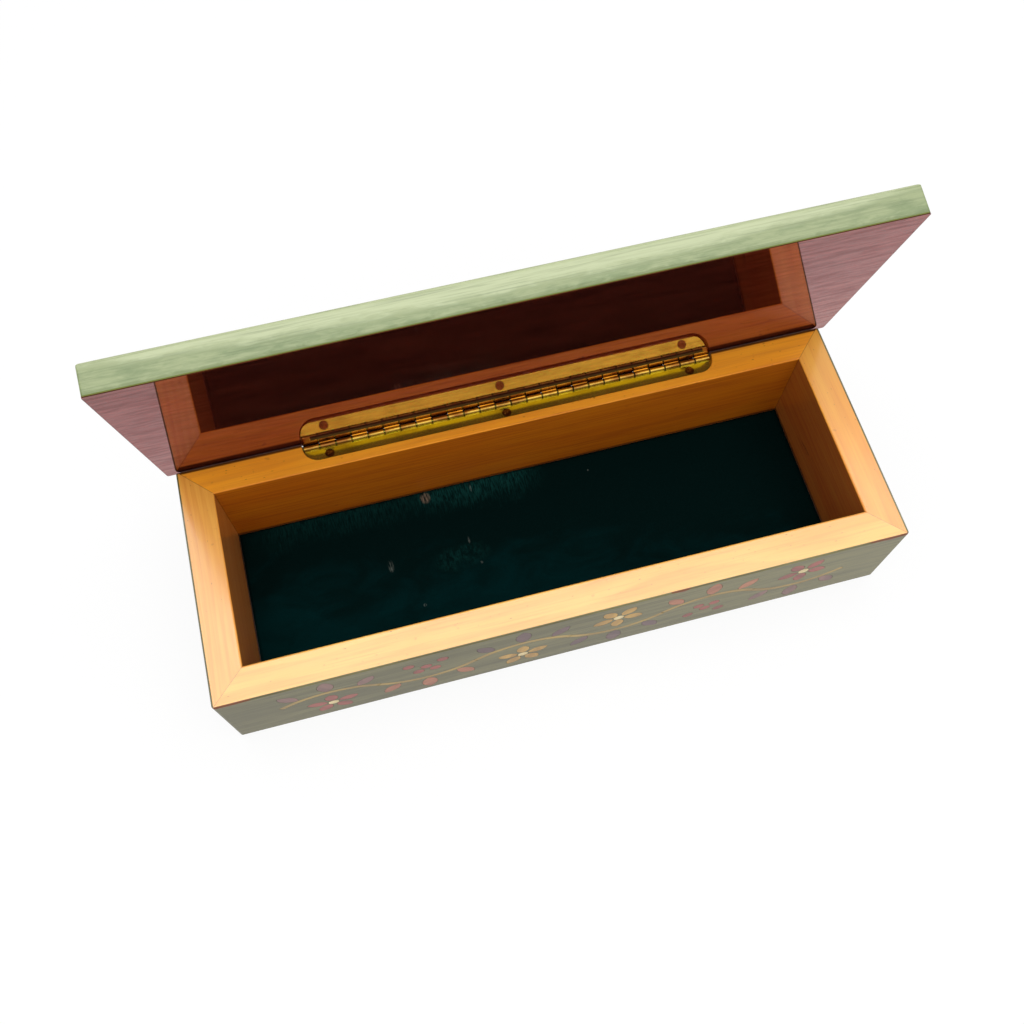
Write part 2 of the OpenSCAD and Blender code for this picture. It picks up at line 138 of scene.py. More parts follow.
class Look:
    # a tree of shader nodes

    def __init__(self, tree):
        self.tree = tree

    def add(self, kind, settings, sockets, out=0):
        node = self.tree.nodes.new(kind)
        for key, value in settings.items():
            setattr(node, key, value)
        self.feed(node, sockets)
        return Sock(self, node.outputs[out])

    def feed(self, node, sockets):
        for key, value in sockets.items():
            if isinstance(value, Sock):
                self.tree.links.new(value.out, node.inputs[key])
            else:
                node.inputs[key].default_value = value

    def vec(self, operation, *args, out=0, scale=None):
        sockets = dict(enumerate(args))
        if scale is not None:
            sockets["Scale"] = scale
        return self.add("ShaderNodeVectorMath", {"operation": operation}, sockets, out)

    def dot(self, vector, direction):
        return self.vec("DOT_PRODUCT", vector, direction, out="Value")

    def parts(self, vector):
        node = self.add("ShaderNodeSeparateXYZ", {}, {0: vector}).out.node
        return [Sock(self, node.outputs[i]) for i in range(3)]

    def join(self, x, y, z):
        return self.add("ShaderNodeCombineXYZ", {}, {0: x, 1: y, 2: z})

    def stretch(self, vector, sizes, shift=(0, 0, 0)):
        # sizes are the lengths in mm over which a texture changes once
        shrunk = self.vec("DIVIDE", vector, sizes)
        return self.vec("ADD", shrunk, shift)

    def noise(self, vector, detail=2.0, rough=0.5, twist=0.0):
        return self.add("ShaderNodeTexNoise", {},
                        {"Vector": vector, "Scale": 1.0, "Detail": detail,
                         "Roughness": rough, "Distortion": twist})

    def mix(self, amount, a, b, blend="MIX"):
        return self.add("ShaderNodeMix", {"data_type": "RGBA", "blend_type": blend},
                        {0: amount, 6: a, 7: b}, 2)

    def bump(self, height, depth, strength=1.0):
        # depth is the height in mm that a value of 1 stands for
        return self.add("ShaderNodeBump", {},
                        {"Height": height, "Distance": depth * mm, "Strength": strength}, "Normal")


class PieceLook(Look):
    # one material: a Principled shader and the nodes that feed it

    def __init__(self, name):
        self.mat = bpy.data.materials.new(name)
        self.mat.use_nodes = True
        super().__init__(self.mat.node_tree)
        self.shader = self.tree.nodes["Principled BSDF"]
        place = self.add("ShaderNodeTexCoord", {}, {}, "Object")
        self.pos = self.vec("SCALE", place, scale=1 / mm)    # the piece's own place, in mm

    def finish(self, **sockets):
        self.feed(self.shader, {key.replace("_", " "): value for key, value in sockets.items()})
        return self.mat


def dress(name, mat):
    # gives a CAD node its material
    piece = nodes[name]
    piece.data.materials.clear()
    piece.data.materials.append(mat)


def addPiece(name, data, mat, body):
    # a piece made here, which moves with a body
    for face in data.polygons:
        face.use_smooth = True
    data.materials.append(mat)
    piece = bpy.data.objects.new(name, data)
    scene.collection.objects.link(piece)
    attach(piece, body)
    return piece


cameraPlace = {
    "spot": (-53.3, -152.8, 405.2),     # mm
    "turn": (23.52, -0.39, -14.78),     # degrees
    "lens": 37.09,
    "sensor": 36,
    "nearest": 0.01,                    # m
}


def placeCamera():
    data = bpy.data.cameras.new("camera")
    data.lens = cameraPlace["lens"]
    data.sensor_width = cameraPlace["sensor"]
    data.clip_start = cameraPlace["nearest"]
    camera = bpy.data.objects.new("camera", data)
    camera.location = [c * mm for c in cameraPlace["spot"]]
    camera.rotation_euler = [math.radians(a) for a in cameraPlace["turn"]]
    scene.collection.objects.link(camera)
    scene.camera = camera


placeCamera()
print("camera placed")


# a pale floor, an even sky and two soft panels overhead
studio = {
    "sky": 0.72,
    # place (m), turn (degrees), size (m) and power (W); the second is seen in polished surfaces only
    "softBox": ((0.10, -0.156, 1.30), -10, (1.7, 1.4), 14.5),
    "sheenBox": ((0.10, 0.294, 1.30), -11, (1.7, 0.55), 22.5),
    "floorSize": 6.0,       # m
    "floorWhite": 0.88,
    "floorPlain": 0.85,
}


def seenAsWhite(look):
    # 1 for rays from the camera, from gloss and through glass
    path = look.add("ShaderNodeLightPath", {}, {}).out.node.outputs
    return (Sock(look, path["Is Camera Ray"]) + Sock(look, path["Is Glossy Ray"])
            + Sock(look, path["Is Transmission Ray"])).least(1.0)


def makeSky():
    world = bpy.data.worlds.new("sky")
    scene.world = world
    world.use_nodes = True
    look = Look(world.node_tree)
    white = seenAsWhite(look)
    look.feed(look.tree.nodes["Background"],
              {"Color": (1, 1, 1, 1), "Strength": white + (1 - white) * studio["sky"]})


def makeFloor():
    half = studio["floorSize"] / 2
    corners = [(-half, -half, 0), (half, -half, 0), (half, half, 0), (-half, half, 0)]
    mesh = bpy.data.meshes.new("floor")
    mesh.from_pydata(corners, [], [(0, 1, 2, 3)])
    floor = bpy.data.objects.new("floor", mesh)
    scene.collection.objects.link(floor)
    look = PieceLook("paleFloor")
    look.finish(Base_Color=(studio["floorPlain"],) * 3 + (1,), Roughness=0.9, Specular_IOR_Level=0.1)
    glow = look.add("ShaderNodeEmission", {}, {"Color": (1, 1, 1, 1), "Strength": 1.0})
    both = look.add("ShaderNodeMixShader", {},
                    {0: seenAsWhite(look) * studio["floorWhite"],
                     1: Sock(look, look.shader.outputs[0]), 2: glow})
    look.feed(look.tree.nodes["Material Output"], {"Surface": both})
    mesh.materials.append(look.mat)


def makePanel(name):
    spot, turn, size, watts = studio[name]
    data = bpy.data.lights.new(name, "AREA")
    data.shape = "RECTANGLE"
    data.size, data.size_y = size
    data.energy = watts
    lamp = bpy.data.objects.new(name, data)
    lamp.location = spot
    lamp.rotation_euler.z = math.radians(turn)
    lamp.visible_camera = False
    scene.collection.objects.link(lamp)
    return lamp


makeSky()
makeFloor()
makePanel("softBox")
makePanel("sheenBox").visible_diffuse = False
scene.view_settings.view_transform = "Standard"
print("studio lit")


# the four walls, in lacquered softwood
honey = {
    "ring": 2.6,        # mm between growth lines
    "late": rgb(206, 118, 38),
    "stain": rgb(150, 78, 24),
    "fleck": rgb(92, 48, 16),
    # dark colour for chips, and for painted shade in creases, gaps and behind the lid
    "gap": rgb(58, 30, 12),
    "mark": rgb(56, 30, 14),
    "coatRough": 0.15,
    "grainDeep": 0.015,     # mm
    "mitreGlue": (0.05, 0.26),      # mm from the mitre over which the glue line fades
    "insideSlack": 0.6,     # mm past the inner faces that still count as inside
}


def grainPlace(look, along):
    # the place with its first number along the grain
    x, y, z = look.parts(look.pos)
    return look.join(x, y, z) if along == "x" else look.join(y, x, z)


def honeyWood(name, along, pith, seed, light, dark, inside):
    look = PieceLook(name)
    place = grainPlace(look, along)
    b, c = look.parts(place)[1:]
    wander = look.noise(look.stretch(place, (140, 40, 40), (seed, 0, 0)), 2)
    across = ((b - pith[0]) ** 2 + (c - pith[1]) ** 2) ** 0.5
    ring = (across / honey["ring"] + wander * 5.0).fract()
    late = ring.step(0.2, 0.85) * (1 - ring.step(0.85, 1.0))
    fibre = look.noise(look.stretch(place, (22, 0.45, 0.45), (0, seed, 0)), 3, 0.65)
    cloud = look.noise(look.stretch(place, (60, 14, 14), (seed, seed, 0)), 3)
    line = look.noise(look.stretch(place, (42, 0.9, 0.9), (seed, 3, 0)), 3, 0.65, 0.2)
    colour = look.mix(cloud.step(0.25, 0.75), light, dark)
    colour = look.mix(late * (0.12 + cloud.step(0.25, 0.6) * 0.14), colour, honey["late"])
    colour = look.mix((1 - fibre.step(0.28, 0.52)) * 0.26, colour, honey["late"])
    colour = look.mix(line.step(0.5, 0.64) * 0.22, colour, honey["late"])
    # round stains and short dark flecks
    stain = look.noise(look.stretch(look.pos, (4.2, 3.2, 3.2), (seed * 2, 5, 0)), 1)
    colour = look.mix(stain.step(0.74, 0.8) * 0.3, colour, honey["stain"])
    fleck = look.noise(look.stretch(place, (1.7, 0.5, 0.5), (seed * 3, 0, 0)), 0)
    colour = look.mix(fleck.step(0.80, 0.86) * 0.6, colour, honey["fleck"])
    # glue line along the mitre
    x, y, z = look.parts(look.pos)
    mitre = abs((outerHalf[0] - abs(x)) - (outerHalf[1] - abs(y)))
    colour = look.mix((1 - mitre.step(*honey["mitreGlue"])) * 0.5, colour, honey["fleck"])
    # painted shade: the faces inside are deeper and darker in colour
    inner = (abs(x) < wellHalf[0] + honey["insideSlack"]) * (abs(y) < wellHalf[1] + honey["insideSlack"])
    colour = look.mix(inner * (line.step(0.46, 0.62) * 0.5 + 0.1), colour, honey["late"])
    colour = look.mix(inner * (rimTop - 0.2 - z).step(0.0, 0.5), colour, inside, "MULTIPLY")
    # painted shade at the foot, and bare along the top edge inside
    colour = look.mix(inner * (1 - (z - liningTop).step(-0.4, 1.2)) * 0.7, colour, honey["gap"])
    arris = inner * (z - rimTop).step(-0.8, -0.5)
    return look, arris, fibre, colour


def finishHoney(look, bare, fibre, colour):
    # bare is where the lacquer has gone
    return look.finish(Base_Color=colour, Roughness=0.5, Specular_IOR_Level=0.25,
                       Normal=look.bump(fibre, honey["grainDeep"], 0.4),
                       Coat_Weight=1 - bare.least(1.0), Coat_Roughness=honey["coatRough"], Coat_IOR=1.5)


# the grain runs along x or y; pith is where the growth lines centre; inside darkens the inner face, as
# painted shade
walls = {
    "front": {
        "along": "x", "pith": (-75, -60), "seed": 3.1,
        "light": rgb(235, 180, 78), "dark": rgb(231, 168, 62), "inside": (0.62, 0.50, 0.22, 1),
    },
    "back": {
        "along": "x", "pith": (85, -30), "seed": 7.7,
        "light": rgb(246, 164, 38), "dark": rgb(240, 148, 28), "inside": (0.62, 0.46, 0.16, 1),
    },
    "left": {
        "along": "y", "pith": (-190, 10), "seed": 12.4,
        "light": rgb(232, 169, 72), "dark": rgb(228, 155, 57), "inside": (0.83, 0.73, 0.94, 1),
    },
    "right": {
        "along": "y", "pith": (170, -60), "seed": 21.9,
        "light": rgb(234, 166, 60), "dark": rgb(230, 150, 46), "inside": (0.54, 0.40, 0.50, 1),
    },
}
# splinters in front of the hinge, in mm, and the thinner lacquer of the back wall
backWear = {"from": 23.5, "to": 34.5, "edge": 38.2, "deep": 1.0, "below": 1.5, "thin": 0.5}
# dark mineral marks in the right wall, in mm, seen to this depth from its inner face
streaks = {"y": 6.5, "z": 15.5, "long": 9.0, "high": 1.7, "lean": -0.26, "deep": 1.1}


def plainWall(side):
    look, arris, fibre, colour = honeyWood(side + "WallWood", **walls[side])
    dress(side + "_wall", finishHoney(look, arris, fibre, colour))


def backWall():
    look, arris, fibre, colour = honeyWood("backWallWood", **walls["back"])
    x, y, z = look.parts(look.pos)
    jag = look.noise(look.stretch(look.pos, (1.1, 3, 3), (2, 0, 0)), 3, 0.7)
    start, end = backWear["from"], backWear["to"]
    along = x.step(start, start + 2) * (1 - x.step(end - 2, end))
    reach = (backWear["edge"] - y) / backWear["deep"]
    splinter = along * (jag.step(0.45, 0.75) - reach).step(0.0, 0.15) * (z > rimTop - backWear["below"])
    colour = look.mix(splinter * 0.85, colour, honey["gap"])
    # painted shade, and no lacquer, where the back edge falls away behind the lid
    bare = (y - hingeSpot.y).step(-0.2, 0.5) * (z - rimTop).step(-4.5, -2.5)
    colour = look.mix(bare * 0.9, colour, honey["gap"])
    dress("back_wall", finishHoney(look, arris + bare + backWear["thin"], fibre, colour))


def rightWall():
    look, arris, fibre, colour = honeyWood("rightWallWood", **walls["right"])
    x, y, z = look.parts(look.pos)
    dy = y - streaks["y"]
    dz = z - streaks["z"] - dy * streaks["lean"]
    fray = look.noise(look.stretch(look.pos, (0.6, 5, 0.6), (2, 1, 0)), 3, 0.7)
    mark = 1 - ((dy / streaks["long"]) ** 2 + (dz / streaks["high"]) ** 2).step(0.1, 1.0)
    inside = x < wellHalf[0] + streaks["deep"]
    colour = look.mix(mark * fray.step(0.5, 0.66) * inside * 0.85, colour, honey["mark"])
    dress("right_wall", finishHoney(look, arris, fibre, colour))


plainWall("front")
plainWall("left")
backWall()
rightWall()
print("walls dressed")


# dyed veneer on the box, dyed edging and mahogany on the lid
dyed = {
    "veneer": rgb(90, 85, 46),
    "veneerPale": rgb(116, 110, 66),
    "veneerLine": rgb(54, 50, 30),
    "edging": rgb(140, 151, 107),
    "edgingDeep": rgb(112, 128, 84),
    "edgingLine": rgb(84, 100, 62),
    "edgingFoot": rgb(92, 108, 56),
    # painted highlight colour for the top of the front edging
    "rubbed": rgb(176, 184, 144),
    "worn": rgb(110, 58, 26),
    "wornSpots": ((-124.5, 7.0), (41.0, 3.5), (123.0, 8.0)),     # x and half length along the front arris
    "coat": 0.34,
    "rubbedFrom": 7.4,      # mm above the pin's axis where the painted highlight on the edging begins
    "footTo": (4.0, 5.2),   # mm above the pin's axis where the darker foot fades
}
mahoganyWood = {
    "light": rgb(124, 50, 34),
    "red": rgb(104, 38, 27),
    "streak": rgb(56, 17, 13),
    "fibre": rgb(50, 14, 10),
    "pore": rgb(30, 9, 6),
    "dust": rgb(180, 120, 100),
    "cutEdge": rgb(50, 27, 16),
    "stainFrom": (2.35, 2.5),       # mm above the pin's axis where the edging's stain begins
    "shine": 0.67,
    "shineTint": (1.0, 0.38, 0.07, 1),
    "edgeWidth": 0.1,       # mm
}


def lidPlace(look):
    # x, distance from the hinge, height above the pin's axis
    x, y, z = look.parts(look.pos)
    out = look.dot(look.pos, lidOut) - hingeSpot.dot(Vector(lidOut))
    up = look.dot(look.pos, lidUp) - hingeSpot.dot(Vector(lidUp))
    return look.join(x, out, up)


def veneerGrain(look, place, seed, long=60.0, fine=0.35):
    cloud = look.noise(look.stretch(place, (long, 7, 7), (seed, 0, 0)), 3, 0.6, 0.4)
    fibre = look.noise(look.stretch(place, (18, fine, fine), (0, seed, 0)), 3, 0.7)
    return cloud, fibre


def plainPlace(look):
    return look.pos


def acrossPlace(look):
    return grainPlace(look, "y")


def frontPlace(look):
    x, y, z = look.parts(look.pos)
    return look.join(x, z, y)


def lidAcross(look):
    x, out, up = look.parts(lidPlace(look))
    return look.join(out, x, up)


def finishDyed(look, fibre, colour, coat=1.0):
    return look.finish(Base_Color=colour, Roughness=0.55, Specular_IOR_Level=0.2,
                       Normal=look.bump(fibre, 0.012, 0.4),
                       Coat_Weight=dyed["coat"] * coat, Coat_Roughness=0.08, Coat_IOR=1.5)


def greenVeneer(name, placeOf, seed):
    look = PieceLook(name)
    place = placeOf(look)
    cloud, fibre = veneerGrain(look, place, seed, 70.0, 0.4)
    line = look.noise(look.stretch(place, (30, 0.55, 0.55), (seed, seed, 0)), 2, 0.6, 0.3)
    along = look.parts(place)[0]
    colour = look.mix((cloud + along / 900).step(0.3, 0.7), dyed["veneer"], dyed["veneerPale"])
    colour = look.mix(line.step(0.52, 0.64) * 0.45, colour, dyed["veneerLine"])
    colour = look.mix((1 - fibre.step(0.3, 0.52)) * 0.35, colour, dyed["veneerLine"])
    return look, fibre, colour


def frontVeneer():
    look, fibre, colour = greenVeneer("frontVeneerGreen", plainPlace, 1.3)
    x, y, z = look.parts(look.pos)
    ragged = look.noise(look.stretch(look.pos, (2.2, 30, 1.5), (4.2, 0, 0)), 3)
    for middle, half in dyed["wornSpots"]:
        far = abs(x - middle) / half
        worn = (ragged * 2.6 - far * far - (rimTop - z)).step(0.0, 0.25)
        colour = look.mix(worn * 0.9, colour, dyed["worn"])
    return finishDyed(look, fibre, colour)


def sideVeneer(name, placeOf, seed):
    look, fibre, colour = greenVeneer(name, placeOf, seed)
    return finishDyed(look, fibre, colour)


def backVeneer():
    # painted shade along the top, behind the lid, with no lacquer there
    look, fibre, colour = greenVeneer("backVeneerGreen", plainPlace, 8.2)
    bare = (look.parts(look.pos)[2] - rimTop).step(-5.0, -3.0)
    colour = look.mix(bare * 0.85, colour, honey["gap"])
    return finishDyed(look, fibre, colour, 1 - bare)


def edgingWood(name, placeOf, seed, rub=0.0):
    look = PieceLook(name)
    place = placeOf(look)
    cloud, fibre = veneerGrain(look, place, seed, 26.0, 0.5)
    mottle = look.noise(look.stretch(place, (5.5, 1.5, 1.5), (seed, 2, 0)), 3, 0.6, 0.6)
    line = look.noise(look.stretch(place, (34, 0.7, 0.7), (seed, seed, 0)), 2, 0.6, 0.4)
    colour = look.mix((cloud * 0.6 + mottle * 0.4).step(0.36, 0.62), dyed["edgingDeep"], dyed["edging"])
    along, width, up = look.parts(place)
    if rub:
        # painted highlight: paler towards the top of the edge, more so away from the underside, standing in
        # for the lamp's glare
        limit = dyed["rubbedFrom"] + 4.6 * (along / 134) ** 2 + (cloud - 0.5) * 7.0 + (mottle - 0.5) * 4.0
        pale = (up - limit).step(-2.2, 1.4)
        colour = look.mix(pale * rub, colour, dyed["rubbed"])
    colour = look.mix(line.step(0.5, 0.66) * 0.26, colour, dyed["edgingLine"])
    colour = look.mix((1 - fibre.step(0.3, 0.52)) * 0.2, colour, dyed["edgingLine"])
    colour = look.mix((1 - (up + mottle * 2.0).step(*dyed["footTo"])) * 0.6, colour, dyed["edgingFoot"])
    return finishDyed(look, fibre, colour)


def mahogany(name):
    look = PieceLook(name)
    place = lidPlace(look)
    x, out, up = look.parts(place)
    cloud = look.noise(look.stretch(place, (90, 10, 10), (5, 0, 0)), 3, 0.6)
    fibre = look.noise(look.stretch(place, (12, 0.5, 0.5), (0, 5, 0)), 3, 0.7)
    pore = look.noise(look.stretch(place, (3.2, 0.25, 0.25), (0, 9, 0)), 1)
    dust = look.noise(look.stretch(place, (0.9, 0.5, 0.5), (3, 3, 0)), 0)
    streak = look.noise(look.stretch(place, (15, 1.7, 1.7), (6, 1, 0)), 3, 0.65, 0.3).step(0.34, 0.62)
    colour = look.mix(cloud.step(0.3, 0.7), mahoganyWood["red"], mahoganyWood["light"])
    colour = look.mix((1 - streak) * 0.7, colour, mahoganyWood["streak"])
    colour = look.mix((1 - fibre.step(0.35, 0.6)) * 0.6, colour, mahoganyWood["fibre"])
    colour = look.mix(pore.step(0.58, 0.7) * 0.6, colour, mahoganyWood["pore"])
    colour = look.mix(dust.step(0.86, 0.9) * 0.25, colour, mahoganyWood["dust"])
    # the cut edge of the veneer is dull and dark
    side = abs(x) > lidHalf - mahoganyWood["edgeWidth"]
    free = out > lidReach - mahoganyWood["edgeWidth"]
    rim = (side + free).least(1.0)
    colour = look.mix(rim * 0.9, colour, mahoganyWood["cutEdge"])
    colour = look.mix(rim * up.step(*mahoganyWood["stainFrom"]), colour, dyed["edgingFoot"])
    polish = 1 - rim
    return look.finish(Base_Color=colour, Metallic=polish * mahoganyWood["shine"], Roughness=0.035,
                       Specular_IOR_Level=0.2, Specular_Tint=mahoganyWood["shineTint"],
                       Normal=look.bump(fibre, 0.003, 0.3),
                       Coat_Weight=polish * (0.46 + streak * 0.26), Coat_Roughness=0.015, Coat_IOR=1.5)


def dressSkins():
    dress("front_veneer", frontVeneer())
    dress("back_veneer", backVeneer())
    dress("left_veneer", sideVeneer("leftVeneerGreen", acrossPlace, 15.6))
    dress("right_veneer", sideVeneer("rightVeneerGreen", acrossPlace, 23.0))
    dress("lid_top_veneer", sideVeneer("lidTopGreen", lidPlace, 31.7))
    dress("lid_front_edging", edgingWood("frontEdgingGreen", lidPlace, 2.6, 0.85))
    dress("lid_back_edging", edgingWood("backEdgingGreen", lidPlace, 9.9))
    dress("lid_left_edging", edgingWood("leftEdgingGreen", lidAcross, 14.2))
    dress("lid_right_edging", edgingWood("rightEdgingGreen", lidAcross, 19.1))
    dress("lid_underside_veneer", mahogany("undersideMahogany"))


dressSkins()
print("veneers dressed")


# inlays: the colour of each kind of motif, and its darker grain
inlayColours = {
    "stems": (rgb(170, 140, 66), rgb(132, 104, 44)),
    "mauve": (rgb(138, 98, 88), rgb(108, 74, 66)),
    "rust": (rgb(176, 108, 70), rgb(140, 82, 54)),
    "plum": (rgb(110, 80, 78), rgb(84, 58, 58)),
    "red": (rgb(158, 74, 60), rgb(122, 54, 44)),
    "gold": (rgb(196, 152, 66), rgb(158, 116, 42)),
    "eyes": (rgb(226, 206, 154), rgb(190, 166, 112)),
    "berries": (rgb(156, 70, 56), rgb(116, 48, 38)),
}


def inlayWood(name, placeOf, colours, seed, slant):
    # each motif colour has its own veneer, with the grain turned by slant
    look = PieceLook(name)
    a, b, c = look.parts(placeOf(look))
    cs, sn = math.cos(slant), math.sin(slant)
    place = look.join(a * cs + b * sn, b * cs - a * sn, c)
    cloud, fibre = veneerGrain(look, place, seed, 22.0, 0.4)
    colour = look.mix(cloud.step(0.3, 0.7), colours[1], colours[0])
    colour = look.mix((1 - fibre.step(0.3, 0.55)) * 0.35, colour, colours[1])
    return finishDyed(look, fibre, colour)


def dressInlays():
    motifs = [name for name in nodes if name.startswith(("front_", "top_"))]
    for number, name in enumerate(sorted(motifs)):
        key = next((k for k in inlayColours if name.endswith(k)), None)
        if key is None:
            continue
        placeOf = frontPlace if name.startswith("front_") else lidPlace
        words = name.split("_")
        title = words[0] + "".join(w.capitalize() for w in words[1:]) + "Wood"
        dress(name, inlayWood(title, placeOf, inlayColours[key], number * 5.3, number * 0.9))


dressInlays()
print("inlays dressed")


# hidden plywood and card
hidden = {
    "ply": rgb(214, 178, 122),
    "plyDark": rgb(176, 134, 84),
    "card": rgb(128, 122, 108),
    "cardPale": rgb(156, 150, 134),
    "stainedFrom": 1.9,     # mm above the ground; the panel is painted dark, as shade in the gap, where it shows round the lining
}


def plyWood(name, placeOf, seed, stainedFrom=None):
    look = PieceLook(name)
    place = placeOf(look)
    cloud, fibre = veneerGrain(look, place, seed, 50.0, 0.6)
    colour = look.mix(cloud.step(0.3, 0.7), hidden["ply"], hidden["plyDark"])
    colour = look.mix((1 - fibre.step(0.3, 0.55)) * 0.4, colour, hidden["plyDark"])
    if stainedFrom:
        # painted shade in the gap round the lining
        colour = look.mix(look.parts(place)[2] > stainedFrom, colour, honey["gap"])
    return look.finish(Base_Color=colour, Roughness=0.7, Normal=look.bump(fibre, 0.03, 0.6))


def greyCard():
    look = PieceLook("liningCard")
    speckle = look.noise(look.stretch(look.pos, (0.8, 0.8, 0.8)), 4)
    colour = look.mix(speckle.step(0.35, 0.65), hidden["card"], hidden["cardPale"])
    return look.finish(Base_Color=colour, Roughness=0.9)


dress("bottom_panel", plyWood("bottomPly", plainPlace, 2.0, hidden["stainedFrom"]))
dress("lid_core", plyWood("corePly", lidPlace, 6.0))
dress("lining_card", greyCard())
print("hidden wood and card dressed")


# the brass hinge
brassLook = {
    # painted reflection: the two leaves are one brass, given two colours to tune how each shows in the
    # other's reflection
    "clean": rgb(220, 228, 88),
    "aged": rgb(196, 198, 72),
    "lidClean": rgb(206, 154, 48),
    "lidAged": rgb(180, 128, 42),
    "dirt": rgb(22, 13, 8),
    # painted shade: the knuckles' browner, darker brass
    "knuckle": rgb(176, 144, 62),
    "knuckleDeep": rgb(130, 88, 40),
    "boxScrew": (rgb(132, 94, 46), rgb(84, 56, 28)),
    "lidScrew": (rgb(140, 96, 48), rgb(84, 52, 28)),
    "rough": 0.12,
    "pinRough": 0.3,
    "dirtyFrom": (5.45, 5.55),      # mm from the pin to where the lid leaf's edge turns dark
}
knuckles = {"pitch": 6.35, "count": 26, "radius": 1.1}      # mm
hingeMiddle = (boxOf("hinge_pin")[0].x + boxOf("hinge_pin")[1].x) / 2


def brass(name, clean, aged, rough, seed):
    look = PieceLook(name)
    blotch = look.noise(look.stretch(look.pos, (12, 6, 6), (seed, 0, 0)), 4, 0.6)
    scratch = look.noise(look.stretch(look.pos, (9, 0.25, 0.25), (0, seed, 0)), 2)
    spot = look.noise(look.stretch(look.pos, (1.1, 1.1, 1.1), (seed, 0, 0)), 1)
    colour = look.mix(blotch.step(0.42, 0.7), clean, aged)
    colour = look.mix(spot.step(0.74, 0.82) * 0.5, colour, brassLook["dirt"])
    return look, blotch, rough + blotch.step(0.4, 0.7) * 0.05 + scratch * 0.04, colour


def finishBrass(look, rough, colour, dirt=0.0):
    return look.finish(Base_Color=colour, Metallic=1.0 - dirt, Roughness=rough, Specular_IOR_Level=0.1)


def leafBrass(name, clean, aged, seed):
    # the knuckles are painted browner and darker than the leaf, as painted shade for the dark surroundings
    # they reflect; dirt in the joints, and darker along the lid leaf's edge
    look, blotch, rough, colour = brass(name, clean, aged, brassLook["rough"], seed)
    x, y, z = look.parts(look.pos)
    far = ((y - hingeSpot.y) ** 2 + (z - hingeSpot.z) ** 2) ** 0.5
    barrel = 1 - far.step(knuckles["radius"] + 0.05, knuckles["radius"] + 0.2)
    joint = abs(((x - hingeMiddle) / knuckles["pitch"] + 0.5).fract() - 0.5) * knuckles["pitch"]
    knuckleShade = look.mix(blotch.step(0.4, 0.62), brassLook["knuckle"], brassLook["knuckleDeep"])
    colour = look.mix(barrel, colour, knuckleShade)
    out = look.parts(lidPlace(look))[1]
    dirt = (barrel * (1 - joint.step(0.22, 0.42)) + out.step(*brassLook["dirtyFrom"])).least(1.0)
    colour = look.mix(dirt * 0.9, colour, brassLook["dirt"])
    return finishBrass(look, rough + barrel * 0.12 + dirt * 0.4, colour, dirt)


def plainBrass(name, title, colours, rough, seed):
    look, blotch, rough, colour = brass(title, *colours, rough, seed)
    dress(name, finishBrass(look, rough, colour))


def dressHinge():
    dress("hinge_box_leaf", leafBrass("boxLeafBrass", brassLook["clean"], brassLook["aged"], 1.0))
    dress("hinge_lid_leaf", leafBrass("lidLeafBrass", brassLook["lidClean"], brassLook["lidAged"], 5.0))
    pinColours = (brassLook["aged"], brassLook["dirt"])
    plainBrass("hinge_pin", "pinBrass", pinColours, brassLook["pinRough"], 9.0)
    plainBrass("box_leaf_screws", "boxScrewBrass", brassLook["boxScrew"], brassLook["rough"], 13.0)
    plainBrass("lid_leaf_screws", "lidScrewBrass", brassLook["lidScrew"], brassLook["rough"], 17.0)


dressHinge()
print("hinge dressed")


# a dark strip behind the hinge's barrel, standing in for the shade there: painted shade, in mm from the pin's
# axis
hingeShadeStrip = {
    "front": 1.2,
    "back": 1.75,
    "foot": -1.03,
    "top": -0.17,       # behind the box leaf's knuckles
    "low": -0.93,       # behind the lid leaf's, which keep it down
    "lump": 0.04,
    "shoulder": (0.05, 0.1),        # how far its edges are rounded back and down
    "shares": (0.02, 0.34, 0.66, 0.98),     # where it is shaped along each knuckle
    "colour": rgb(30, 17, 9),
}


# the painted shade strip's dark colour
def hingeShadeLook():
    look = PieceLook("oldWax")
    crumb = look.noise(look.pos, 2, 0.6)
    colour = look.mix(crumb, hingeShadeStrip["colour"], brassLook["dirt"])
    return look.finish(Base_Color=colour, Roughness=0.7 + crumb * 0.2)


def hingeShadeProfile(x, top):
    # five corners across the strip, from its front foot over the top to its back foot
    front, back = hingeSpot.y + hingeShadeStrip["front"], hingeSpot.y + hingeShadeStrip["back"]
    foot = hingeSpot.z + hingeShadeStrip["foot"]
    inward, down = hingeShadeStrip["shoulder"]
    corners = [(front, foot), (front + inward, top - down), ((front + back) / 2, top),
               (back - inward, top - down), (back, foot)]
    return [(x * mm, y * mm, z * mm) for y, z in corners]


# lays the painted shade strip behind the barrel
def makeHingeShadeStrip():
    form = bmesh.new()
    left = hingeMiddle - knuckles["count"] / 2 * knuckles["pitch"]
    rings = []
    for number in range(knuckles["count"]):
        level = hingeSpot.z + (hingeShadeStrip["low"] if number % 2 else hingeShadeStrip["top"])
        for share in hingeShadeStrip["shares"]:
            x = left + (number + share) * knuckles["pitch"]
            top = level + hingeShadeStrip["lump"] * noise.noise(Vector((x * 0.4, 3.1, 0.0)))
            rings.append([form.verts.new(corner) for corner in hingeShadeProfile(x, top)])
    for near, far in zip(rings, rings[1:]):
        for first in range(len(near)):
            last = (first + 1) % len(near)
            form.faces.new((near[first], near[last], far[last], far[first]))
    form.faces.new(rings[0])
    form.faces.new(rings[-1])
    bmesh.ops.recalc_face_normals(form, faces=form.faces)
    data = bpy.data.meshes.new("hinge_wax")
    form.to_mesh(data)
    form.free()
    addPiece("hinge_wax", data, hingeShadeLook(), "box")


makeHingeShadeStrip()
print("hinge shade strip made")


